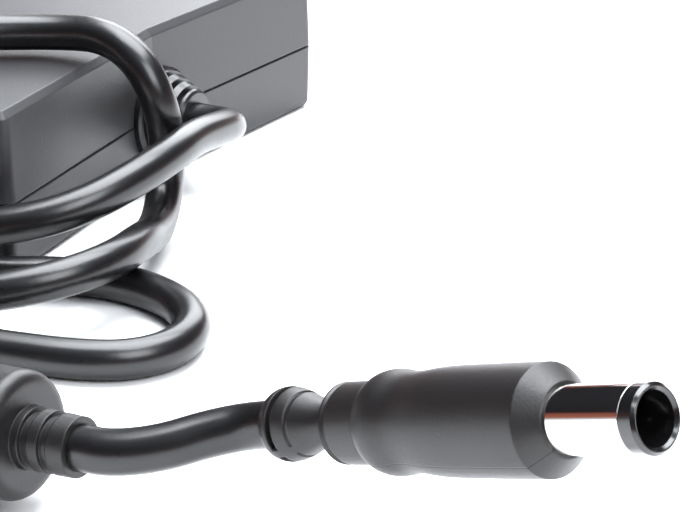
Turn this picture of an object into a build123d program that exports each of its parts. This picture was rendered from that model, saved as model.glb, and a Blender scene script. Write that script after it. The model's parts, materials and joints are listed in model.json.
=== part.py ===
from build123d import *
import math
import os

# A slim laptop power adapter: a flat two-shell brick with a shallow V in its output end, its
# power electronics, a three-pin mains inlet, and a captive output lead with a ferrite choke and
# a barrel plug.  Millimetres.  +X leaves the output end, +Y runs across it, +Z is up.  The
# origin is the middle of the brick's underside, on the surface that it stands on.

# ---------------------------------------------------------------- driving dimensions: the case
case_l = 186.5          # brick, end to end
case_w = 95.7           # brick, side to side
case_h = 26.9           # brick, underside to top
seam_z = 12.1           # height of the parting line between the two shells
seam_deep = 0.3         # the groove that shows there
seam_high = 0.2         # its height in each shell
notch = 4.1             # depth of the V in the output end
wall = 2.2              # shell wall
draft = 1.6             # mould draft of the outer walls, degrees
corner_r = 1.8          # upright corners
top_bevel = 1.1         # bevel round the top face
foot_r = 1.6            # rounding round the underside
lip_t = 1.0             # lower shell's inner lip
lip_h = 1.6
lip_gap = 0.15          # all round the lip
label_l = 110.0         # rating label and its recess
label_w = 62.0
label_deep = 0.5
label_t = 0.3
label_gap = 0.4

# ---------------------------------------------------------------- driving dimensions: mains inlet
inlet_w = 22.0          # inlet body, across the brick
inlet_h = 19.0
inlet_l = 20.0
inlet_z = 13.6          # its middle, above the underside
inlet_gap = 0.2
socket_w = 16.2         # opening for the lead's three-pin connector
socket_h = 13.6
socket_deep = 14.0
pin_r = 1.2
pin_pitch = 7.2         # line to neutral
earth_rise = 3.6        # earth pin above the other two
pin_drop = 2.0          # line and neutral below the inlet's middle
pin_l = 18.0
pin_free = 11.0         # length of pin that stands in the socket

# ---------------------------------------------------------------- driving dimensions: electronics
board_t = 1.6
board_z = 6.4           # underside of the circuit board
board_gap = 1.2         # to the case's inner walls
spreader_t = 0.5        # aluminium heat spreaders
sheet_t = 0.4           # insulation sheets
fit_gap = 0.3           # between neighbouring parts
screw_r = 1.5
screw_head_r = 2.8

# ---------------------------------------------------------------- driving dimensions: the lead
cord_d = 5.8
gland_r = 8.0           # where the gland meets the end face
gland_z = 12.4
gland_l = 8.0           # from the face to where the cord leaves it
gland_tip_r = 4.9
neck_r = 5.0            # neck that the shells grip
flange_r = 7.0          # flange that holds it, inside the case
flange_t = 2.0
flange_gap = 0.4        # flange to the wall
core_r = 8.2            # ferrite choke's cover
core_l = 28.0
core_end_r = 1.8        # rounding of its ends
stub_l = 7.9            # ribbed sleeve on each end of the choke
stub_r = 4.1
choke_at = (125.0, -106.3, 9.45)    # its middle; it rests on its rear rim
choke_turn = -3.0                   # heading of the choke, degrees from +X
choke_rise = 5.0                    # the springy lead lifts its front end
tie_w = 9.0
tie_t = 0.8
coil_at = (34.0, -128.2)
coil_rows = 3
coil_ease = 0.1         # the coil's solid is this much slimmer than its turns, all round

# ---------------------------------------------------------------- driving dimensions: the plug
plug_at = (171.3, -101.0, 17.5)      # where the cord enters the strain relief
plug_turn = -18.0                   # heading of the plug, degrees from +X
plug_rise = 20.5                    # the springy lead holds its nose up off the surface
relief_l = 12.6
relief_r = 4.75
collar_l = 5.4
sleeve_l = 28.4                     # from the collar to the sleeve's nose
sleeve_r = 6.1
sleeve_nose = 2.3                   # conical nose of the sleeve
barrel_r = 3.7
barrel_bore_r = 2.95
barrel_l = 10.2
barrel_hold = 6.0                   # length of it inside the sleeve
tip_l = 2.0
tip_bore_r = 2.85
contact_deep = 4.0                  # the inner contact starts this far inside the barrel
centre_pin_r = 0.3

cord_r = cord_d / 2
end_x = case_l / 2
floor_z = cord_r                    # height of the cord's middle where it lies on the surface
inner_top = case_h - wall
board_top = board_z + board_t
notch_x = end_x - notch


def save(piece, name):
    """Label a finished piece and write it to its own STEP file."""
    piece.part.label = name
    export_step(piece.part, "parts/" + name + ".step")
    print(f"{name:24s} solids {len(piece.part.solids())}  volume {piece.part.volume:9.1f}")


def shell_outline(inset, plane):
    """The brick's plan, with the V in its output end, set in by `inset` all round."""
    with BuildSketch(plane) as plan:
        with BuildLine():
            Polyline(
                (-end_x, -case_w / 2),
                (end_x, -case_w / 2),
                (notch_x, 0),
                (end_x, case_w / 2),
                (-end_x, case_w / 2),
                close=True,
            )
        make_face()
        fillet(plan.vertices().filter_by(lambda v: abs(v.Y) > 1), corner_r)
        if inset:
            offset(amount=-inset, kind=Kind.INTERSECTION, mode=Mode.REPLACE)
    return plan.sketch


def lip_ring(inset, plane):
    """A closed band from `inset` in to the inner face of the lip."""
    with BuildSketch(plane) as band:
        add(shell_outline(inset, Plane.XY))
        add(shell_outline(wall + lip_gap + lip_t, Plane.XY), mode=Mode.SUBTRACT)
    return band.sketch


def seam_band(plane):
    """A closed band that reaches `seam_deep` into the outline from outside it."""
    with BuildSketch(plane) as band:
        add(shell_outline(-1.0, Plane.XY))
        add(shell_outline(seam_deep, Plane.XY), mode=Mode.SUBTRACT)
    return band.sketch


os.makedirs("parts", exist_ok=True)

# ================================================================ case
# Each shell tapers away from the parting line, so the seam is the brick's widest level.
inlet_x0 = -end_x
inlet_x1 = inlet_x0 + inlet_l


def inlet_window(gap):
    """Hole for the inlet's body in the mains end."""
    with Locations((inlet_x0 + inlet_l / 2, 0, inlet_z)):
        Box(inlet_l, inlet_w + 2 * gap, inlet_h + 2 * gap, mode=Mode.SUBTRACT)


def gland_window(gap):
    """Round hole for the cord gland's neck in the output end."""
    with Locations(Location((notch_x, 0, gland_z), (0, 90, 0))):
        Cylinder(neck_r + gap, 6 * wall, mode=Mode.SUBTRACT)


with BuildPart() as upper_case:
    add(shell_outline(0, Plane.XY.offset(seam_z)))
    extrude(amount=case_h - seam_z, taper=draft)
    chamfer(upper_case.faces().sort_by(Axis.Z)[-1].edges(), top_bevel)
    add(seam_band(Plane.XY.offset(seam_z)))
    extrude(amount=seam_high, mode=Mode.SUBTRACT)
    add(shell_outline(wall, Plane.XY.offset(seam_z)))
    extrude(amount=inner_top - seam_z, taper=draft, mode=Mode.SUBTRACT)
    inlet_window(inlet_gap)
    gland_window(0)
save(upper_case, "upper_case")

with BuildPart() as lower_case:
    add(shell_outline(0, Plane.XY.offset(seam_z)))
    extrude(amount=-seam_z, taper=draft)
    fillet(lower_case.faces().sort_by(Axis.Z)[0].edges(), foot_r)
    add(seam_band(Plane.XY.offset(seam_z)))
    extrude(amount=-seam_high, mode=Mode.SUBTRACT)
    add(shell_outline(wall, Plane.XY.offset(seam_z)))
    extrude(amount=-(seam_z - wall), taper=draft, mode=Mode.SUBTRACT)
    # the lip that locates the upper shell: a shelf on the wall, then the lip standing on it
    add(lip_ring(wall - 0.01, Plane.XY.offset(seam_z - lip_h)))
    extrude(amount=lip_h)
    add(lip_ring(wall + lip_gap, Plane.XY.offset(seam_z)))
    extrude(amount=lip_h)
    # recess for the rating label
    with BuildSketch(Plane.XY):
        RectangleRounded(label_l + 2 * label_gap, label_w + 2 * label_gap, 2.0)
    extrude(amount=label_deep, mode=Mode.SUBTRACT)
    inlet_window(inlet_gap)
    gland_window(0)
    # the lip stops short of the gland's inner flange
    with Locations(Location((notch_x - wall - 3.0, 0, gland_z), (0, 90, 0))):
        Cylinder(flange_r + 0.4, 6.0, mode=Mode.SUBTRACT)
save(lower_case, "lower_case")

with BuildPart() as rating_label:
    with BuildSketch(Plane.XY.offset(label_deep - label_t)):
        RectangleRounded(label_l, label_w, 2.0 - label_gap)
    extrude(amount=label_t)
save(rating_label, "rating_label")

# ================================================================ mains inlet
# A recessed three-pin appliance inlet.  The socket is a clover of three lobes, one a pin.
inlet_back = inlet_x0 + socket_deep
inlet_plane = Plane(origin=(inlet_x0, 0, inlet_z), x_dir=(0, -1, 0), z_dir=(-1, 0, 0))
pin_places = {
    "inlet_line_pin": (pin_pitch / 2, -pin_drop),
    "inlet_neutral_pin": (-pin_pitch / 2, -pin_drop),
    "inlet_earth_pin": (0, earth_rise - pin_drop + 1.2),
}

with BuildPart() as inlet_body:
    with BuildSketch(inlet_plane):
        RectangleRounded(inlet_w, inlet_h, 1.5)
    extrude(amount=-inlet_l)
    with BuildSketch(inlet_plane):
        with Locations((0, -pin_drop)):
            SlotOverall(socket_w, socket_h - 6.0)
        with Locations((0, pin_places["inlet_earth_pin"][1])):
            RectangleRounded(7.8, 6.6, 2.6)
    extrude(amount=-socket_deep, mode=Mode.SUBTRACT)
    with BuildSketch(inlet_plane.offset(-inlet_l)):
        with Locations(*pin_places.values()):
            Circle(pin_r)
    extrude(amount=inlet_l, mode=Mode.SUBTRACT)
save(inlet_body, "inlet_body")

for pin_name, pin_place in pin_places.items():
    with BuildPart() as inlet_pin:
        with BuildSketch(inlet_plane.offset(-(socket_deep - pin_free))):
            with Locations(pin_place):
                Circle(pin_r)
        extrude(amount=-pin_l)
        fillet(inlet_pin.edges().sort_by(Axis.X)[0], 0.8)
    save(inlet_pin, pin_name)

# ================================================================ circuit board and shields
board_x0 = inlet_x0 + inlet_l + fit_gap
board_x1 = notch_x - wall - board_gap - 8.0
board_w = case_w - 2 * (wall + lip_gap + lip_t + board_gap)
board_mid = (board_x0 + board_x1) / 2
board_l = board_x1 - board_x0
spreader_w = board_w - 6.0
spreader_l = board_l - 6.0
low_sheet_z = wall + spreader_t
stand_r = 2.6

# (x, y) of the board's four screw posts
post_x = board_l / 2 - 5.0
post_y = board_w / 2 - 5.0


def on_board(length, width, height, x, y, name, edge=0.5):
    """A block-shaped component that stands on the board."""
    with BuildPart() as component:
        with BuildSketch(Plane.XY.offset(board_top)):
            with Locations((x, y)):
                Rectangle(length, width)
        extrude(amount=height)
        chamfer(component.faces().sort_by(Axis.Z)[-1].edges(), edge)
    save(component, name)


with BuildPart() as circuit_board:
    with BuildSketch(Plane.XY.offset(board_z)):
        with Locations((board_mid, 0)):
            Rectangle(board_l, board_w)
            with GridLocations(2 * post_x, 2 * post_y, 2, 2):
                Circle(screw_r + 0.1, mode=Mode.SUBTRACT)
    extrude(amount=board_t)
save(circuit_board, "circuit_board")

with BuildPart() as lower_heat_spreader:
    with BuildSketch(Plane.XY.offset(wall)):
        with Locations((board_mid, 0)):
            Rectangle(spreader_l - 8.0, spreader_w - 8.0)
            with GridLocations(2 * post_x, 2 * post_y, 2, 2):
                Circle(stand_r + fit_gap, mode=Mode.SUBTRACT)
    extrude(amount=spreader_t)
save(lower_heat_spreader, "lower_heat_spreader")

with BuildPart() as lower_insulation_sheet:
    with BuildSketch(Plane.XY.offset(low_sheet_z)):
        with Locations((board_mid, 0)):
            Rectangle(spreader_l - 6.0, spreader_w - 6.0)
            with GridLocations(2 * post_x, 2 * post_y, 2, 2):
                Circle(stand_r + fit_gap, mode=Mode.SUBTRACT)
    extrude(amount=sheet_t)
save(lower_insulation_sheet, "lower_insulation_sheet")

with BuildPart() as upper_heat_spreader:
    with BuildSketch(Plane.XY.offset(inner_top - spreader_t)):
        with Locations((board_mid, 0)):
            Rectangle(spreader_l, spreader_w)
    extrude(amount=spreader_t)
save(upper_heat_spreader, "upper_heat_spreader")

upper_sheet_z = inner_top - spreader_t - sheet_t
with BuildPart() as upper_insulation_sheet:
    with BuildSketch(Plane.XY.offset(upper_sheet_z)):
        with Locations((board_mid, 0)):
            Rectangle(spreader_l + 2.0, spreader_w + 2.0)
    extrude(amount=sheet_t)
save(upper_insulation_sheet, "upper_insulation_sheet")

with BuildPart() as board_posts:
    with BuildSketch(Plane.XY.offset(wall)):
        with Locations((board_mid, 0)):
            with GridLocations(2 * post_x, 2 * post_y, 2, 2):
                Circle(stand_r)
                Circle(screw_r - 0.2, mode=Mode.SUBTRACT)
    extrude(amount=board_z - wall)
save(board_posts, "board_posts")

with BuildPart() as board_screws:
    with BuildSketch(Plane.XY.offset(board_top)):
        with Locations((board_mid, 0)):
            with GridLocations(2 * post_x, 2 * post_y, 2, 2):
                Circle(screw_head_r)
    extrude(amount=1.6)
    with BuildSketch(Plane.XY.offset(wall + 1.0)):
        with Locations((board_mid, 0)):
            with GridLocations(2 * post_x, 2 * post_y, 2, 2):
                Circle(screw_r - 0.2)
    extrude(amount=board_top - wall - 1.0)
save(board_screws, "board_screws")

# ================================================================ components, mains end first
tall = upper_sheet_z - board_top - 0.6      # tallest part that fits over the board
bay_x = board_x0 + 8.0

# mains filter
with BuildPart() as fuse:
    with BuildSketch(Plane.XZ.offset(-10.0)):
        with Locations((bay_x, board_top + 4.3)):
            Circle(4.2)
    extrude(amount=-20.0)
    fillet(fuse.edges().filter_by(GeomType.CIRCLE), 0.6)
save(fuse, "fuse")

with BuildPart() as surge_thermistor:
    with BuildSketch(Plane.YZ.offset(bay_x - 3.0)):
        with Locations((-22.0, board_top + 6.6)):
            Circle(6.5)
    extrude(amount=5.0)
    fillet(surge_thermistor.edges().filter_by(GeomType.CIRCLE), 1.6)
save(surge_thermistor, "surge_thermistor")

on_board(11.0, 26.0, tall - 1.5, bay_x + 12.0, 22.0, "mains_filter_capacitor")

choke_x = bay_x + 13.5
choke_y = -22.0
with BuildPart() as common_mode_core:
    with BuildSketch(Plane.XY.offset(board_top + 2.0)):
        with Locations((choke_x + 2.0, choke_y)):
            Circle(9.0)
            Circle(5.0, mode=Mode.SUBTRACT)
    extrude(amount=7.0)
save(common_mode_core, "common_mode_core")

with BuildPart() as common_mode_windings:
    with BuildSketch(Plane.XY.offset(board_top + 0.6)):
        with Locations((choke_x + 2.0, choke_y)):
            Circle(10.6)
            Circle(3.4, mode=Mode.SUBTRACT)
            Rectangle(24.0, 5.0, mode=Mode.SUBTRACT)
    extrude(amount=9.8)
    with BuildSketch(Plane.XY.offset(board_top + 2.0)):
        with Locations((choke_x + 2.0, choke_y)):
            Circle(9.0)
            Circle(5.0, mode=Mode.SUBTRACT)
    extrude(amount=7.0, mode=Mode.SUBTRACT)
save(common_mode_windings, "common_mode_windings")

# rectifier and boost stage
stage_x = bay_x + 32.0
on_board(5.0, 25.0, tall - 2.0, stage_x, 17.0, "bridge_rectifier")
on_board(22.0, 24.0, 2.6, stage_x + 15.5, -22.0, "boost_choke_bobbin", edge=0.3)

with BuildPart() as boost_choke_core:
    with BuildSketch(Plane.XY.offset(board_top + 2.6)):
        with Locations((stage_x + 15.5, -22.0)):
            RectangleRounded(23.0, 26.0, 3.0)
    extrude(amount=tall - 3.0)
    fillet(boost_choke_core.faces().sort_by(Axis.Z)[-1].edges(), 1.0)
save(boost_choke_core, "boost_choke_core")

bulk_r = 7.4
with BuildPart() as bulk_capacitor:
    with BuildSketch(Plane.YZ.offset(stage_x + 5.0)):
        with Locations((17.0, board_top + bulk_r)):
            Circle(bulk_r)
    extrude(amount=34.0)
    fillet(bulk_capacitor.edges().filter_by(GeomType.CIRCLE), 1.0)
save(bulk_capacitor, "bulk_capacitor")

on_board(42.0, 2.4, tall - 1.0, stage_x + 22.0, 33.0, "primary_heatsink", edge=0.4)
with BuildPart() as power_switches:
    with Locations((stage_x + 12.0, 29.3, board_top + 7.0), (stage_x + 30.0, 29.3, board_top + 7.0)):
        Box(10.0, 5.0 - 2 * fit_gap, 9.0)
    chamfer(power_switches.faces().group_by(Axis.Z)[-1].edges(), 0.5)
save(power_switches, "power_switches")

# transformer and its isolation
core_x = stage_x + 56.0
core_tall = tall - 0.4
with BuildPart() as transformer_core:
    with BuildSketch(Plane.XY.offset(board_top + 0.4)):
        with Locations((core_x, 0)):
            Rectangle(29.0, 34.0)
    extrude(amount=core_tall)
    with BuildSketch(Plane.XZ.offset(-17.0)):
        with Locations((core_x, board_top + 0.4 + core_tall / 2)):
            Rectangle(21.0, core_tall - 6.0)
    extrude(amount=34.0, mode=Mode.SUBTRACT)
    chamfer(transformer_core.edges().filter_by(Axis.Z).group_by(Axis.X)[0], 0.6)
save(transformer_core, "transformer_core")

with BuildPart() as transformer_winding:
    with BuildSketch(Plane.XZ.offset(-21.0)):
        with Locations((core_x, board_top + 0.4 + core_tall / 2)):
            RectangleRounded(21.0 - 2 * fit_gap, core_tall - 6.0 - 2 * fit_gap, 1.5)
    extrude(amount=42.0)
save(transformer_winding, "transformer_winding")

on_board(9.0, 4.0, 7.5, core_x - 22.0, 4.5, "isolation_capacitor")
on_board(6.4, 4.6, 3.5, core_x - 22.0, -4.5, "optocoupler", edge=0.3)
on_board(10.0, 6.2, 1.8, core_x - 34.0, -2.0, "controller_chip", edge=0.3)

# output stage
out_x = core_x + 21.0
on_board(2.4, 40.0, tall - 1.0, out_x, 18.0, "secondary_heatsink", edge=0.4)
with BuildPart() as output_rectifiers:
    with Locations((out_x + 4.0, 8.0, board_top + 7.0), (out_x + 4.0, 28.0, board_top + 7.0)):
        Box(4.6, 10.0, 9.0)
    chamfer(output_rectifiers.faces().group_by(Axis.Z)[-1].edges(), 0.5)
save(output_rectifiers, "output_rectifiers")

with BuildPart() as output_capacitors:
    with BuildSketch(Plane.XY.offset(board_top)):
        with Locations((out_x, -12.0), (out_x, -23.5), (out_x, -35.0)):
            Circle(5.0)
    extrude(amount=tall - 0.8)
    fillet(output_capacitors.faces().group_by(Axis.Z)[-1].edges(), 0.6)
save(output_capacitors, "output_capacitors")

# ring choke that smooths the output
ring_x = out_x + 19.0
ring_y = -22.0
with BuildPart() as output_choke_core:
    with BuildSketch(Plane.XY.offset(board_top + 1.4)):
        with Locations((ring_x, ring_y)):
            Circle(8.0)
            Circle(4.4, mode=Mode.SUBTRACT)
    extrude(amount=8.0)
    fillet(output_choke_core.edges().filter_by(GeomType.CIRCLE), 0.6)
save(output_choke_core, "output_choke_core")

turns = 12
with BuildPart() as output_choke_winding:
    with PolarLocations(6.2, turns):
        with Locations((0, 0, 4.0)):
            Box(6.8, 1.1, 10.8)
    with PolarLocations(6.2, turns):
        with Locations((0, 0, 4.0)):
            Box(3.6 + 0.4, 1.2, 8.0 + 0.4, mode=Mode.SUBTRACT)
output_choke_winding.part.locate(Location((ring_x, ring_y, board_top + 1.4)))
save(output_choke_winding, "output_choke_winding")

on_board(9.0, 14.0, 9.0, ring_x, 2.0, "output_film_capacitor")

# ================================================================ cord gland
# Moulded on the cord: a flange inside the case, a neck that the shells grip, a round boss on
# the end face and a short ribbed taper out of which the cord bends.
gland_axis = Axis((0, 0, gland_z), (1, 0, 0))
gland_steps = 3
gland_run = gland_l - 2.0
gland_plane = Plane(origin=(notch_x, 0, gland_z), x_dir=(1, 0, 0), z_dir=(0, -1, 0))
with BuildPart() as cord_gland:
    with BuildSketch(gland_plane):
        with BuildLine():
            Polyline(
                (0, 0),
                (0, gland_r),
                (1.6, gland_r),
                (2.0, gland_r - 0.4),
                (gland_l - 0.4, gland_tip_r),
                (gland_l, gland_tip_r - 0.4),
                (gland_l, 0),
                close=True,
            )
        make_face()
    revolve(axis=gland_axis)
    # seated on the two facets of the end face
    add(shell_outline(0, Plane.XY))
    extrude(amount=case_h, mode=Mode.SUBTRACT)
    with BuildSketch(gland_plane):
        with BuildLine():
            Polyline(
                (-wall - flange_gap - flange_t, 0),
                (-wall - flange_gap - flange_t, flange_r),
                (-wall - flange_gap, flange_r),
                (-wall - flange_gap, neck_r),
                (0.4, neck_r),
                (0.4, 0),
                close=True,
            )
        make_face()
    revolve(axis=gland_axis)
    for step in range(gland_steps):
        groove_x = 2.3 + step * gland_run / gland_steps
        groove_r = gland_r - (gland_r - gland_tip_r) * groove_x / gland_l - 1.1
        with BuildSketch(Plane.YZ.offset(notch_x + groove_x)):
            with Locations((0, gland_z)):
                Circle(gland_r + 1.0)
                Circle(groove_r, mode=Mode.SUBTRACT)
        extrude(amount=0.9, mode=Mode.SUBTRACT)
save(cord_gland, "cord_gland")

# output wires, from the cord's end inside the gland to the board's edge
wire_r = 1.1
wire_x0 = notch_x - wall - flange_gap - flange_t
wire_x1 = board_x1 - 3.0
with BuildPart() as output_wires:
    for wire_y in (-3.2, 0.0, 3.2):
        with BuildLine() as wire_path:
            FilletPolyline(
                (wire_x0, wire_y, gland_z),
                (wire_x0 - 5.0, wire_y, gland_z),
                (wire_x1, 2.2 * wire_y, board_top + 4.0),
                (wire_x1, 2.2 * wire_y, board_top),
                radius=1.6,
            )
        with BuildSketch(Plane(wire_path.line @ 0, z_dir=wire_path.line % 0)):
            Circle(wire_r)
        sweep(path=wire_path.line)
save(output_wires, "output_wires")

# mains wires, from the inlet's pins down to the board
with BuildPart() as mains_wires:
    for tab_y, tab_z in pin_places.values():
        tab_x = inlet_x0 + socket_deep - pin_free + pin_l
        with BuildLine() as tab_path:
            FilletPolyline(
                (tab_x, -tab_y, inlet_z + tab_z),
                (tab_x + 3.2, -tab_y, inlet_z + tab_z),
                (tab_x + 4.0, -2.0 * tab_y, board_top + 2.4),
                (tab_x + 4.0, -2.0 * tab_y, board_top),
                radius=1.2,
            )
        with BuildSketch(Plane(tab_path.line @ 0, z_dir=tab_path.line % 0)):
            Circle(0.8)
        sweep(path=tab_path.line)
save(mains_wires, "mains_wires")

# ================================================================ ferrite choke on the lead
def heading(turn, rise):
    """Unit vector that points `turn` degrees from +X, `rise` degrees up."""
    level = math.cos(math.radians(rise))
    across = math.radians(turn)
    return Vector(level * math.cos(across), level * math.sin(across), math.sin(math.radians(rise)))


def disc(start, direction, outer, inner=0.0):
    """A disc, or a ring, across `direction` at `start`."""
    with BuildSketch(Plane(origin=start, z_dir=direction)) as face:
        Circle(outer)
        if inner:
            Circle(inner, mode=Mode.SUBTRACT)
    return face.sketch


choke_dir = heading(choke_turn, choke_rise)
half_core = core_l / 2
choke_end = half_core + stub_l
ferrite_l = core_l - 4.0
ferrite_r = core_r - 1.2


def on_choke(s):
    """The point of the choke's axis at `s` from its middle."""
    return Vector(choke_at) + choke_dir * s


with BuildPart() as choke_cover:
    with Locations(Plane(origin=choke_at, z_dir=choke_dir).location):
        Cylinder(core_r, core_l)
    fillet(choke_cover.edges().filter_by(GeomType.CIRCLE), core_end_r)
    for side in (-1, 1):
        with BuildSketch(Plane(origin=on_choke(side * (half_core - 3.0)), z_dir=choke_dir * side)):
            Circle(stub_r)
        extrude(amount=stub_l + 3.0, taper=1.5)
        for groove_s in (1.2, 4.1):
            with BuildSketch(Plane(origin=on_choke(side * (half_core + groove_s)), z_dir=choke_dir * side)):
                Circle(stub_r + 1.0)
                Circle(cord_r + 0.5, mode=Mode.SUBTRACT)
            extrude(amount=1.3, mode=Mode.SUBTRACT)
    with BuildSketch(Plane(origin=on_choke(-ferrite_l / 2), z_dir=choke_dir)):
        Circle(ferrite_r)
    extrude(amount=ferrite_l, mode=Mode.SUBTRACT)
    with BuildSketch(Plane(origin=on_choke(-choke_end - 1.0), z_dir=choke_dir)):
        Circle(cord_r)
    extrude(amount=2 * choke_end + 2.0, mode=Mode.SUBTRACT)
save(choke_cover, "choke_cover")

with BuildPart() as ferrite_core:
    extrude(disc(on_choke(-ferrite_l / 2), choke_dir, ferrite_r, cord_r), amount=ferrite_l, dir=choke_dir)
save(ferrite_core, "ferrite_core")

with BuildPart() as cord_in_choke:
    extrude(disc(on_choke(-choke_end), choke_dir, cord_r), amount=2 * choke_end, dir=choke_dir)
save(cord_in_choke, "cord_in_choke")

# ================================================================ barrel plug
plug_dir = heading(plug_turn, plug_rise)
seam_roll = 35.0                                    # where the sleeve's two halves meet
plug_side = heading(plug_turn - 90.0, 0).rotate(Axis((0, 0, 0), plug_dir), seam_roll)
plug_axis = Axis(plug_at, plug_dir)
plug_plane = Plane(origin=plug_at, x_dir=plug_dir, z_dir=plug_dir.cross(plug_side))
collar_s = relief_l                                 # stations along the plug, from the cord
sleeve_s = relief_l + collar_l
nose_s = sleeve_s + sleeve_l
barrel_s = nose_s + barrel_l
tip_s = barrel_s + tip_l
socket_s = sleeve_s + 3.0                           # rear wall of the sleeve's hollow
block_r = barrel_r - 0.35
root_r = barrel_r - 0.1                             # the barrel's root, inside the sleeve
contact_t = 0.35


def station(s):
    """The plane across the plug at `s` from where the cord enters it."""
    return Plane(origin=Vector(plug_at) + plug_dir * s, x_dir=plug_side, z_dir=plug_dir)


def on_plug(s0, s1, outer, inner, name):
    """A ring, or a rod, round the plug's axis from station `s0` to `s1`."""
    with BuildPart() as piece:
        extrude(disc(station(s0).origin, plug_dir, outer, inner), amount=s1 - s0, dir=plug_dir)
    save(piece, name)


groove_pitch = 2.6
groove_w = 0.9
with BuildPart() as plug_strain_relief:
    with BuildSketch(plug_plane):
        with BuildLine():
            Polyline((0, 0), (0, relief_r - 1.1))
            Spline((0, relief_r - 1.1), (0.7, relief_r - 0.55), (2.0, relief_r - 0.3), (collar_s - 0.5, relief_r))
            Polyline((collar_s - 0.5, relief_r), (collar_s, relief_r - 0.35), (collar_s + 0.5, relief_r))
            Polyline((collar_s + 0.5, relief_r), (sleeve_s, relief_r), (sleeve_s, block_r))
            Polyline((sleeve_s, block_r), (socket_s, block_r), (socket_s, 0), (0, 0))
        make_face()
    revolve(axis=plug_axis)
    for step in range(4):
        with BuildSketch(station(2.0 + step * groove_pitch)):
            Circle(relief_r + 1.0)
            Circle(relief_r - 1.1, mode=Mode.SUBTRACT)
            Rectangle(2 * relief_r + 4.0, 1.2, mode=Mode.SUBTRACT)
        extrude(amount=groove_w, mode=Mode.SUBTRACT)
save(plug_strain_relief, "plug_strain_relief")

with BuildPart() as plug_sleeve_near:
    with BuildSketch(plug_plane):
        with BuildLine():
            Polyline((sleeve_s, block_r), (sleeve_s, relief_r + 0.3))
            Spline(
                (sleeve_s, relief_r + 0.3),
                (sleeve_s + 1.2, sleeve_r - 0.4),
                (sleeve_s + 3.0, sleeve_r - 0.1),
                (sleeve_s + 5.6, sleeve_r - 0.42),
                (sleeve_s + 9.5, sleeve_r - 0.2),
                (sleeve_s + 16.0, sleeve_r),
                (nose_s - sleeve_nose, sleeve_r),
            )
            Polyline((nose_s - sleeve_nose, sleeve_r), (nose_s, barrel_r + 0.3), (nose_s, block_r))
            Polyline((nose_s, block_r), (sleeve_s, block_r))
        make_face()
    revolve(axis=plug_axis, revolution_arc=180.0)
    with BuildSketch(station(nose_s - barrel_hold)):
        Circle(root_r)
    extrude(amount=2 * barrel_hold, mode=Mode.SUBTRACT)
save(plug_sleeve_near, "plug_sleeve_near")

with BuildPart() as plug_sleeve_far:
    add(mirror(plug_sleeve_near.part, about=plug_plane))
save(plug_sleeve_far, "plug_sleeve_far")

on_plug(socket_s, nose_s - barrel_hold, block_r, 0, "plug_contact_block")
on_plug(nose_s - barrel_hold, barrel_s - contact_deep, tip_bore_r, tip_bore_r - contact_t, "plug_inner_contact")
on_plug(nose_s - barrel_hold, barrel_s - contact_deep, centre_pin_r, 0, "plug_centre_pin")

with BuildPart() as plug_barrel:
    extrude(disc(station(nose_s).origin, plug_dir, barrel_r, block_r), amount=barrel_l, dir=plug_dir)
    extrude(disc(station(nose_s).origin, plug_dir, root_r, block_r), amount=-barrel_hold, dir=plug_dir)
save(plug_barrel, "plug_barrel")

with BuildPart() as plug_insulator:
    with BuildSketch(station(nose_s - barrel_hold)):
        Circle(block_r)
        Circle(tip_bore_r, mode=Mode.SUBTRACT)
    extrude(amount=barrel_l + barrel_hold)
    with BuildSketch(station(barrel_s)):
        Circle(barrel_r)
        Circle(tip_bore_r, mode=Mode.SUBTRACT)
    extrude(amount=tip_l)
    chamfer(plug_insulator.edges().filter_by(GeomType.CIRCLE).sort_by(plug_axis)[-2:], 0.35)
save(plug_insulator, "plug_insulator")

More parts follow.
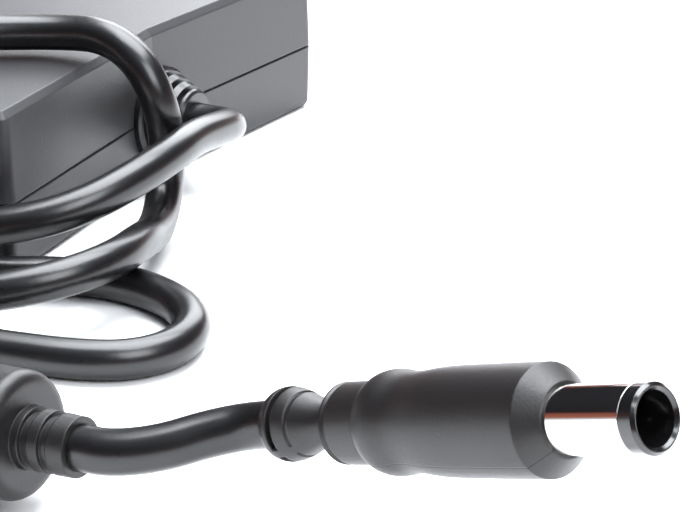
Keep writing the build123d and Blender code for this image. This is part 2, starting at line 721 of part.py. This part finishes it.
# ================================================================ the cord
# One lead of soft flexible cord, laid as it falls: out of the gland, round the brick's corner,
# up over its top, down the output end and round twice more, then a put-away coil, the choke
# and the plug.  Each list is the route of the cord's middle.
lead_route = [
    (notch_x + gland_l, 0.0, gland_z),
    (101.0, 0.0, gland_z),
    (104.8, -1.8, 13.2),
    (107.2, -6.4, 14.8),
    (108.2, -12.8, 16.2),
    (109.0, -19.5, 17.3),
    (110.8, -29.4, 17.8),
    (110.3, -39.4, 16.9),
    (107.0, -47.7, 14.9),
    (101.0, -53.3, 13.1),
    (92.1, -56.6, 11.5),
    (81.0, -59.5, 10.9),
    (68.8, -61.7, 10.4),
    (56.6, -63.3, 11.8),
    (47.2, -62.4, 16.4),
    (41.6, -58.8, 23.1),
    (41.3, -53.0, 30.0),
    (46.6, -45.5, 33.7),
    (55.5, -38.6, 32.9),
    (64.9, -30.9, 31.1),
    (73.8, -22.8, 30.4),
    (83.4, -18.0, 30.6),
    (92.0, -18.2, 31.3),
    (99.4, -20.2, 28.9),
    (103.4, -20.8, 23.0),
    (103.8, -19.4, 15.8),
    (103.8, -20.2, 9.4),
    (105.9, -25.2, 5.6),
    (109.6, -33.4, 5.8),
    (113.4, -42.8, 8.6),
    (115.4, -52.2, 9.7),
    (113.0, -60.9, 9.5),
    (106.2, -66.9, 8.3),
    (96.8, -70.4, 6.7),
    (85.6, -72.9, 4.9),
    (73.8, -76.1, floor_z),
    (62.2, -79.6, floor_z),
    (51.1, -81.6, floor_z),
    (41.1, -80.8, floor_z),
    (33.8, -75.9, floor_z),
    (30.9, -68.2, floor_z),
    (32.5, -60.4, floor_z),
    (39.1, -55.2, floor_z),
    (48.8, -53.6, floor_z),
    (59.9, -54.4, floor_z),
    (72.2, -56.4, floor_z),
    (83.8, -56.2, floor_z),
    (93.8, -52.6, floor_z),
    (101.6, -48.2, floor_z),
    (110.4, -46.0, floor_z),
    (118.8, -46.9, floor_z),
    (125.9, -50.0, floor_z),
    (130.6, -55.5, floor_z),
    (131.8, -62.4, floor_z),
    (128.4, -68.6, floor_z),
    (121.8, -72.0, floor_z),
    (113.0, -73.9, floor_z),
    (102.4, -75.7, floor_z),
    (89.9, -79.2, floor_z),
    (76.6, -84.9, floor_z),
    (62.0, -90.6, floor_z + 0.3),
    (48.0, -93.3, floor_z + tie_t),
    (coil_at[0], -93.4, floor_z + tie_t),
]
choke_route = [
    (66.7, -140.1, floor_z + tie_t + cord_d),
    (70.9, -130.8, 8.3),
    (75.4, -121.6, 6.4),
    (81.6, -113.6, 5.3),
    (89.8, -107.8, 5.9),
    tuple(on_choke(-choke_end - 6.5)),
    tuple(on_choke(-choke_end)),
]
plug_route = [
    tuple(on_choke(choke_end)),
    tuple(on_choke(choke_end + 4.6)),
    (157.0, -105.4, 12.8),
    (161.8, -101.8, 14.4),
    tuple(Vector(plug_at) - plug_dir * 4.8),
    plug_at,
]


def corner_radii(name, route):
    """Each corner's arc is as large as its two runs allow: 0.45 of the shorter one."""
    radii = []
    for before, corner, after in zip(route, route[1:], route[2:]):
        run_in = Vector(corner) - Vector(before)
        run_out = Vector(after) - Vector(corner)
        half_turn = math.radians(run_in.get_angle(run_out)) / 2
        radii.append(0.45 * min(run_in.length, run_out.length) / math.tan(half_turn))
    print(f"{name:24s} radii in diameters: " + " ".join(f"{r / cord_d:.1f}" for r in radii))
    return radii


def cord_tube(name, route):
    """A plain tube of the cord's size along straight runs joined by tangent arcs."""
    with BuildPart() as tube:
        with BuildLine():
            path = FilletPolyline(*route, radius=corner_radii(name, route))
        with BuildSketch(Plane(path @ 0, z_dir=path % 0)):
            Circle(cord_r)
        sweep(path=path)
    section_times_length = math.pi * cord_r**2 * path.length
    print(f"{name:24s} length {path.length:.1f}  volume ratio {tube.part.volume / section_times_length:.4f}")
    save(tube, name)
    return tube


cord_lead = cord_tube("cord_lead", lead_route)
cord_to_choke = cord_tube("cord_to_choke", choke_route)
cord_to_plug = cord_tube("cord_to_plug", plug_route)

# the put-away length, wound into a coil two turns wide and three high, lying on its tie
coil_mid_r = abs(coil_at[1] + 93.4) - cord_r
coil_w = 2 * (cord_d - coil_ease)
coil_h = coil_rows * cord_d
with BuildPart() as cord_coil:
    with BuildSketch(Plane(origin=(*coil_at, tie_t + coil_h / 2), x_dir=(1, 0, 0), z_dir=(0, -1, 0))):
        with Locations((coil_mid_r, 0)):
            RectangleRounded(coil_w, coil_h - 2 * coil_ease, cord_r - 2 * coil_ease)
    revolve(axis=Axis((*coil_at, 0), (0, 0, 1)))
    add(cord_lead.part, mode=Mode.SUBTRACT)
    add(cord_to_choke.part, mode=Mode.SUBTRACT)
save(cord_coil, "cord_coil")

tie_angle = 200.0
tie_plane = Plane(
    origin=(
        coil_at[0] + coil_mid_r * math.cos(math.radians(tie_angle)),
        coil_at[1] + coil_mid_r * math.sin(math.radians(tie_angle)),
        tie_t + coil_h / 2,
    ),
    x_dir=(math.cos(math.radians(tie_angle)), math.sin(math.radians(tie_angle)), 0),
    z_dir=(math.sin(math.radians(tie_angle)), -math.cos(math.radians(tie_angle)), 0),
)
with BuildPart() as cord_tie:
    with BuildSketch(tie_plane):
        RectangleRounded(coil_w + 2 * tie_t, coil_h + 2 * tie_t, cord_r)
    extrude(amount=tie_w / 2, both=True)
    add(cord_coil.part, mode=Mode.SUBTRACT)
save(cord_tie, "cord_tie")
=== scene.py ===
import json
import math

import bpy
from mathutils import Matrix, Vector


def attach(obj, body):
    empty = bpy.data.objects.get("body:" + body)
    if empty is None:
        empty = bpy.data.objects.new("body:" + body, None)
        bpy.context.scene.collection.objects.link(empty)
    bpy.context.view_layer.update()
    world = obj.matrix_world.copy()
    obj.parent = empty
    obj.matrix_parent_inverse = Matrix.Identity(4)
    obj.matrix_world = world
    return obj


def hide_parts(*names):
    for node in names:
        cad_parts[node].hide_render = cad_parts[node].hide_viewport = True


# The looks of a slim laptop power adapter with a captive lead: the lead as one smooth spline, a
# material for every piece, the floor, the light and the camera.  Metres, in the CAD's frame.

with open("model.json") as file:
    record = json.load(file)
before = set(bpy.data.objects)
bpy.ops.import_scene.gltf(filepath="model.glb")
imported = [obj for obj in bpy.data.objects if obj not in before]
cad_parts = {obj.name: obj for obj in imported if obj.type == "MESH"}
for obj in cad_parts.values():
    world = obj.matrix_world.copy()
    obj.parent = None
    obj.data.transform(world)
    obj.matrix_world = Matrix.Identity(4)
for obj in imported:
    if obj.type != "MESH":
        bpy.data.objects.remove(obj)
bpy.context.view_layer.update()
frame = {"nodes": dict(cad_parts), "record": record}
nodes = frame["nodes"]

# ---------------------------------------------------------------- sizes that the lead needs
cord_d = 0.0058
cord_r = cord_d / 2
tie_t = 0.0008
coil_at = Vector((0.034, -0.1282, 0.0))
coil_outer_r = 0.0348               # middle of the outer turns
coil_first = 90.0                   # degrees, where the lead joins the coil
coil_last = 2140.0                  # and where it leaves it, nearly six turns on
coil_points = 137

# Where the coil's line changes place: from and to, in degrees round it, and which way.
moves_inward = ((410, 450, 1), (1430, 1470, -1))
moves_upward = ((750, 790, 1), (1110, 1150, 1), (1780, 1815, -1))

# The lead's route, the same points as the CAD's tubes.
lead_route = [
    (0.09715, 0, 0.0124),
    (0.101, 0, 0.0124),
    (0.1048, -0.0018, 0.0132),
    (0.1072, -0.0064, 0.0148),
    (0.1082, -0.0128, 0.0162),
    (0.109, -0.0195, 0.0173),
    (0.1108, -0.0294, 0.0178),
    (0.1103, -0.0394, 0.0169),
    (0.107, -0.0477, 0.0149),
    (0.101, -0.0533, 0.0131),
    (0.0921, -0.0566, 0.0115),
    (0.081, -0.0595, 0.0109),
    (0.0688, -0.0617, 0.0104),
    (0.0566, -0.0633, 0.0118),
    (0.0472, -0.0624, 0.0164),
    (0.0416, -0.0588, 0.0231),
    (0.0413, -0.053, 0.03),
    (0.0466, -0.0455, 0.0337),
    (0.0555, -0.0386, 0.0329),
    (0.0649, -0.0309, 0.0311),
    (0.0738, -0.0228, 0.0304),
    (0.0834, -0.018, 0.0306),
    (0.092, -0.0182, 0.0313),
    (0.0994, -0.0202, 0.0289),
    (0.1034, -0.0208, 0.023),
    (0.1038, -0.0194, 0.0158),
    (0.1038, -0.0202, 0.0094),
    (0.1059, -0.0252, 0.0056),
    (0.1096, -0.0334, 0.0058),
    (0.1134, -0.0428, 0.0086),
    (0.1154, -0.0522, 0.0097),
    (0.113, -0.0609, 0.0095),
    (0.1062, -0.0669, 0.0083),
    (0.0968, -0.0704, 0.0067),
    (0.0856, -0.0729, 0.0049),
    (0.0738, -0.0761, 0.0029),
    (0.0622, -0.0796, 0.0029),
    (0.0511, -0.0816, 0.0029),
    (0.0411, -0.0808, 0.0029),
    (0.0338, -0.0759, 0.0029),
    (0.0309, -0.0682, 0.0029),
    (0.0325, -0.0604, 0.0029),
    (0.0391, -0.0552, 0.0029),
    (0.0488, -0.0536, 0.0029),
    (0.0599, -0.0544, 0.0029),
    (0.0722, -0.0564, 0.0029),
    (0.0838, -0.0562, 0.0029),
    (0.0938, -0.0526, 0.0029),
    (0.1016, -0.0482, 0.0029),
    (0.1104, -0.046, 0.0029),
    (0.1188, -0.0469, 0.0029),
    (0.1259, -0.05, 0.0029),
    (0.1306, -0.0555, 0.0029),
    (0.1318, -0.0624, 0.0029),
    (0.1284, -0.0686, 0.0029),
    (0.1218, -0.072, 0.0029),
    (0.113, -0.0739, 0.0029),
    (0.1024, -0.0757, 0.0029),
    (0.0899, -0.0792, 0.0029),
    (0.0766, -0.0849, 0.0029),
    (0.062, -0.0906, 0.0032),
    (0.048, -0.0933, 0.0037),
    (0.034, -0.0934, 0.0037),
]

choke_route = [
    (0.0667, -0.1401, 0.0095),
    (0.0709, -0.1308, 0.0083),
    (0.0754, -0.1216, 0.0064),
    (0.0816, -0.1136, 0.0053),
    (0.0898, -0.1078, 0.0059),
    (0.09675, -0.10482, 0.00697),
    (0.10321, -0.10516, 0.00754),
]

plug_route = [
    (0.14679, -0.10744, 0.01136),
    (0.15136, -0.10768, 0.01176),
    (0.157, -0.1054, 0.0128),
    (0.1618, -0.1018, 0.0144),
    (0.16702, -0.09961, 0.01582),
    (0.1713, -0.101, 0.0175),
]


# ================================================================ the lead
def eased(angle, start, end):
    """0 before start, 1 after end, smooth between."""
    t = min(max((angle - start) / (end - start), 0.0), 1.0)
    return t * t * (3 - 2 * t)


def moved(angle, moves):
    """How many places over the line is at this angle, counting each move that it has made."""
    return sum(way * eased(angle, start, end) for start, end, way in moves)


def coil_route():
    """Two turns wide and three high: the line moves in, up twice, out, and down one row."""
    step = (coil_last - coil_first) / coil_points
    reach = 1 / math.cos(math.radians(step) / 2)
    route = []
    for k in range(1, coil_points):
        angle = coil_first + k * step
        radius = (coil_outer_r - cord_d * moved(angle, moves_inward)) * reach
        turned = math.radians(angle)
        route.append((
            coil_at.x + radius * math.cos(turned),
            coil_at.y + radius * math.sin(turned),
            tie_t + cord_r + cord_d * moved(angle, moves_upward),
        ))
    return route


def spline_curve(name, route, radius):
    """A round tube along a smooth line that the route's points steer."""
    data = bpy.data.curves.new(name, "CURVE")
    data.dimensions = "3D"
    line = data.splines.new("NURBS")
    line.points.add(len(route) - 1)
    for point, place in zip(line.points, route):
        point.co = (*place, 1.0)
    line.order_u = 3                # so that it rounds every corner of the route, as the CAD does
    line.use_endpoint_u = True
    data.resolution_u = 8
    data.bevel_depth = radius
    data.bevel_resolution = 10
    data.use_fill_caps = True
    piece = bpy.data.objects.new(name, data)
    bpy.context.scene.collection.objects.link(piece)
    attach(piece, "root")
    return piece


lead = spline_curve("lead", lead_route + coil_route() + choke_route + plug_route, cord_r)
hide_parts("cord_lead", "cord_coil", "cord_to_choke", "cord_in_choke", "cord_to_plug")


# ================================================================ materials
coat_rough = 0.22
drift_scale = 70.0                  # how closely a colour's slow changes follow each other
grain_depth = 0.0001


def material(
    name, colour, rough, metal=0.0, coat=0.0, grain=1200.0, bump=0.1, mottle=0.12, edge=0.0002,
    rough_spread=0.06,
):
    """A moulded or metal surface: fine grain in its bump, and colour and gloss that drift."""
    made = bpy.data.materials.new(name)
    made.use_nodes = True
    tree = made.node_tree
    shader = tree.nodes["Principled BSDF"]
    shader.inputs["Metallic"].default_value = metal
    shader.inputs["Coat Weight"].default_value = coat
    shader.inputs["Coat Roughness"].default_value = coat_rough
    place = tree.nodes.new("ShaderNodeTexCoord")

    drift = tree.nodes.new("ShaderNodeTexNoise")
    drift.inputs["Scale"].default_value = drift_scale
    drift.inputs["Detail"].default_value = 4.0
    tree.links.new(place.outputs["Object"], drift.inputs["Vector"])
    tone = tree.nodes.new("ShaderNodeMix")
    tone.data_type = "RGBA"
    tone.inputs["A"].default_value = (*(c * (1 - mottle) for c in colour), 1)
    tone.inputs["B"].default_value = (*(c * (1 + mottle) for c in colour), 1)
    tree.links.new(drift.outputs["Fac"], tone.inputs["Factor"])
    tree.links.new(tone.outputs["Result"], shader.inputs["Base Color"])

    fine = tree.nodes.new("ShaderNodeTexNoise")
    fine.inputs["Scale"].default_value = grain
    fine.inputs["Detail"].default_value = 3.0
    tree.links.new(place.outputs["Object"], fine.inputs["Vector"])
    gloss = tree.nodes.new("ShaderNodeMapRange")
    gloss.inputs["To Min"].default_value = rough - rough_spread
    gloss.inputs["To Max"].default_value = rough + rough_spread
    tree.links.new(fine.outputs["Fac"], gloss.inputs["Value"])
    tree.links.new(gloss.outputs["Result"], shader.inputs["Roughness"])

    relief = tree.nodes.new("ShaderNodeBump")
    relief.inputs["Strength"].default_value = bump
    relief.inputs["Distance"].default_value = grain_depth
    tree.links.new(fine.outputs["Fac"], relief.inputs["Height"])
    if edge:
        rounding = tree.nodes.new("ShaderNodeBevel")
        rounding.samples = 6
        rounding.inputs["Radius"].default_value = edge
        tree.links.new(rounding.outputs["Normal"], relief.inputs["Normal"])
    tree.links.new(relief.outputs["Normal"], shader.inputs["Normal"])
    return made


looks = {
    "case_plastic": material(
        "case_plastic", (0.022, 0.022, 0.024), 0.42, grain=2600, bump=0.25, edge=0.0004,
    ),
    "label_film": material("label_film", (0.09, 0.09, 0.1), 0.5, grain=4000),
    "inlet_plastic": material("inlet_plastic", (0.02, 0.02, 0.021), 0.5),
    "pin_metal": material("pin_metal", (0.78, 0.66, 0.38), 0.25, metal=1.0, bump=0.05),
    "board_laminate": material("board_laminate", (0.02, 0.16, 0.06), 0.35, coat=0.4),
    "spreader_metal": material("spreader_metal", (0.72, 0.73, 0.75), 0.35, metal=1.0),
    "insulation_film": material("insulation_film", (0.7, 0.66, 0.5), 0.3),
    "screw_steel": material("screw_steel", (0.6, 0.6, 0.62), 0.3, metal=1.0),
    "epoxy_black": material("epoxy_black", (0.02, 0.02, 0.022), 0.5),
    "film_box": material("film_box", (0.7, 0.5, 0.06), 0.3),
    "disc_blue": material("disc_blue", (0.03, 0.12, 0.4), 0.25, coat=0.5),
    "ferrite": material("ferrite", (0.05, 0.05, 0.055), 0.6, bump=0.4),
    "winding_tape": material("winding_tape", (0.8, 0.55, 0.05), 0.3),
    "copper_wire": material("copper_wire", (0.6, 0.22, 0.08), 0.28, metal=0.9),
    "capacitor_sleeve": material("capacitor_sleeve", (0.02, 0.03, 0.08), 0.25, coat=0.3),
    "cord_pvc": material(
        "cord_pvc", (0.006, 0.0058, 0.0065), 0.3, coat=0.1, grain=1500, bump=0.06, edge=0,
    ),
    "plug_plastic": material(
        "plug_plastic", (0.008, 0.0072, 0.0075), 0.42, grain=3200, bump=0.22, edge=0.0003,
    ),
    "nickel": material(
        "nickel", (0.74, 0.72, 0.7), 0.09, metal=1.0, grain=500, bump=0.02, rough_spread=0.03,
    ),
    "tip_plastic": material("tip_plastic", (0.006, 0.006, 0.0065), 0.14, coat=0.6, bump=0.03),
    "tie_band": material("tie_band", (0.03, 0.03, 0.032), 0.6, grain=1800, bump=0.4),
}

for entry in frame["record"]["subparts"]:
    node = nodes[entry["node"]]
    node.data.materials.clear()
    node.data.materials.append(looks[entry["material_slot"]])
lead.data.materials.append(looks["cord_pvc"])


# ================================================================ floor, light and camera
floor_size = 12.0
lit_place = Vector((0.1, -0.05, 0.0))
lamp_tint = (0.93, 0.96, 1.0)

# The room's tone by how far up one looks: 0 is level, 1 is straight up.
room_level = (0.9, 0.9, 0.92, 1)
room_ceiling = (0.5, 0.53, 0.6, 1)
room_between = (
    (0.03, (0.42, 0.14, 0.09, 1)),
    (0.16, (0.3, 0.1, 0.07, 1)),
    (0.2, (0.02, 0.02, 0.024, 1)),
    (0.55, (0.03, 0.03, 0.036, 1)),
)

# Each soft box: its name, place, size and power in watts.
soft_boxes = (
    ("overhead", (0.05, 0.25, 1.1), 1.0, 42.0),
    ("camera_right", (0.9, -0.5, 0.9), 0.7, 14.0),
    ("beyond", (-0.3, 1.3, 0.8), 1.0, 24.0),
)

camera_at = (0.2915, -0.3101, 0.1388)
camera_toward = (-0.472, 0.881)     # over the floor
camera_tilt = 22.5                  # degrees down
camera_lens = 119.8                 # millimetres, on a sensor 36 wide


def room_and_floor():
    """A pale floor, in a dark room with a warm band along its horizon."""
    bpy.ops.mesh.primitive_plane_add(size=floor_size)
    floor = bpy.context.object
    floor.name = "floor"
    paper = material("floor_paper", (0.95, 0.95, 0.95), 0.7, grain=300, bump=0.02, mottle=0.01, edge=0)
    floor.data.materials.append(paper)

    world = bpy.data.worlds.new("room")
    bpy.context.scene.world = world
    world.use_nodes = True
    tree = world.node_tree
    aim = tree.nodes.new("ShaderNodeTexCoord")
    split = tree.nodes.new("ShaderNodeSeparateXYZ")
    room = tree.nodes.new("ShaderNodeValToRGB")
    tree.links.new(aim.outputs["Generated"], split.inputs["Vector"])
    tree.links.new(split.outputs["Z"], room.inputs["Fac"])
    tree.links.new(room.outputs["Color"], tree.nodes["Background"].inputs["Color"])
    room.color_ramp.elements[0].position = 0.0
    room.color_ramp.elements[0].color = room_level
    room.color_ramp.elements[1].position = 1.0
    room.color_ramp.elements[1].color = room_ceiling
    for height, colour in room_between:
        stop = room.color_ramp.elements.new(height)
        stop.color = colour


def lamps():
    """Square soft boxes that face the adapter."""
    for name, place, size, power in soft_boxes:
        lamp = bpy.data.lights.new(name, "AREA")
        lamp.shape = "SQUARE"
        lamp.size = size
        lamp.energy = power
        lamp.color = lamp_tint
        holder = bpy.data.objects.new(name, lamp)
        bpy.context.scene.collection.objects.link(holder)
        holder.location = place
        toward = lit_place - Vector(place)
        holder.rotation_euler = toward.to_track_quat("-Z", "Y").to_euler()


def camera():
    """A long lens that looks back past the plug at the brick's output end."""
    data = bpy.data.cameras.new("camera")
    data.sensor_width = 36.0
    data.lens = camera_lens
    data.clip_start = 0.01
    data.clip_end = 20.0
    eye = bpy.data.objects.new("camera", data)
    bpy.context.scene.collection.objects.link(eye)
    eye.location = camera_at
    facing = Vector((*camera_toward, -math.tan(math.radians(camera_tilt))))
    eye.rotation_euler = facing.to_track_quat("-Z", "Y").to_euler()
    bpy.context.scene.camera = eye


room_and_floor()
lamps()
camera()
bpy.context.scene.view_settings.view_transform = "Standard"
